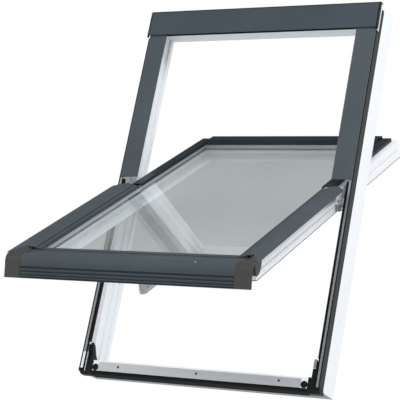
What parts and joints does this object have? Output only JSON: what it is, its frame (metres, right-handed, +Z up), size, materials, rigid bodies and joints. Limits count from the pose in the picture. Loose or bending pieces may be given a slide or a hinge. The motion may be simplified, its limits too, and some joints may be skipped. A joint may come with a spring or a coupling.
{
  "type": "roof skylight",
  "caption": "Centre-pivot roof window, half open: white plastic frame and sash, dark metal cladding, hood, ribbed front cover and double glazing.",
  "frame": {"origin": "middle of the outer frame's bottom face, halfway through its depth", "axes": "+Z up the slope along the jambs (the window is stored upright), -Y out of the roof, +Y into the room, +X to the right seen from outside"},
  "size_m": [0.783, 0.907, 1.1913],
  "materials": {
    "pvc_white": "smooth satin white PVC",
    "cladding": "satin grey-blue coated aluminium",
    "pale_metal": "glossy pale aluminium",
    "brushed_metal": "brushed aluminium",
    "pale_plastic": "pale grey plastic",
    "black_rubber": "soft black rubber",
    "black_plastic": "moulded black plastic",
    "brown_plastic": "moulded brown-grey plastic",
    "glass": "clear double glazing",
    "spacer_metal": "matt aluminium spacer",
    "steel": "zinc-plated steel",
    "hinge_metal": "cast zinc, matt grey",
    "handle_grey": "pale grey coated metal"
  },
  "bodies": {
    "window_frame": {"corner_disc_left": "black_plastic", "corner_disc_right": "black_plastic", "corner_fork_left": "black_plastic", "corner_fork_right": "black_plastic", "cover_seal_left": "black_rubber", "cover_seal_right": "black_rubber", "edge_channel_left": "cladding", "edge_channel_right": "cladding", "frame_gasket_left": "black_rubber", "frame_gasket_right": "black_rubber", "guide_screws_left": "steel", "guide_screws_right": "steel", "head_seal": "black_rubber", "hinge_guide_left": "hinge_metal", "hinge_guide_right": "hinge_metal", "lip_plug_left": "pale_plastic", "lip_plug_right": "pale_plastic", "lip_strip_left": "pale_metal", "lip_strip_right": "pale_metal", "outer_frame": "pvc_white", "reveal_strip_left": "pale_metal", "reveal_strip_right": "pale_metal", "sill_lip": "black_rubber", "sill_screws": "steel", "sill_strip": "brushed_metal", "strike_plate": "steel", "strike_screws": "steel", "top_hood": "cladding", "upper_cover_left": "cladding", "upper_cover_right": "cladding"},
    "sash": {"sash_frame": "pvc_white", "inner_pane": "glass", "outer_pane": "glass", "pane_spacer": "spacer_metal", "glazing_bed": "black_rubber", "glazing_seal": "black_rubber", "sash_seal": "black_rubber", "bottom_seal": "black_rubber", "lower_cover_left": "cladding", "lower_cover_right": "cladding", "upper_strip_left": "cladding", "upper_strip_right": "cladding", "top_strip": "cladding", "front_cover": "cladding", "end_cap_left": "brown_plastic", "end_cap_right": "brown_plastic", "side_strip_left": "pale_metal", "side_strip_right": "pale_metal", "hinge_carrier_left": "hinge_metal", "hinge_carrier_right": "hinge_metal", "carrier_screws_left": "steel", "carrier_screws_right": "steel", "hinge_cap_left": "black_plastic", "hinge_cap_right": "black_plastic", "lock_case": "steel", "handle_plate": "handle_grey"},
    "handle": {"handle": "handle_grey", "spindle": "steel"},
    "latch": {"latch_bolt": "steel"}
  },
  "joints": [
    {"name": "sash_tilt", "type": "hinge", "parent": "window_frame", "child": "sash", "pos_m": [0, -0.086, 0.614], "axis": [-1, 0, 0], "range_deg": [-50.7, 64]},
    {"name": "handle_turn", "type": "hinge", "parent": "sash", "child": "handle", "pos_m": [-0.006, -0.44236, 0.19051], "axis": [0, -0.6334, 0.7738], "range_deg": [0, 90]},
    {"name": "latch_slide", "type": "slide", "parent": "sash", "child": "latch", "axis": [0, -0.7738, -0.6334], "range_m": [0, 0.0121]}
  ],
  "couplings": [
    {"joint": "latch_slide", "follows": "handle_turn", "m_per_rad": 0.0076394}
  ]
}
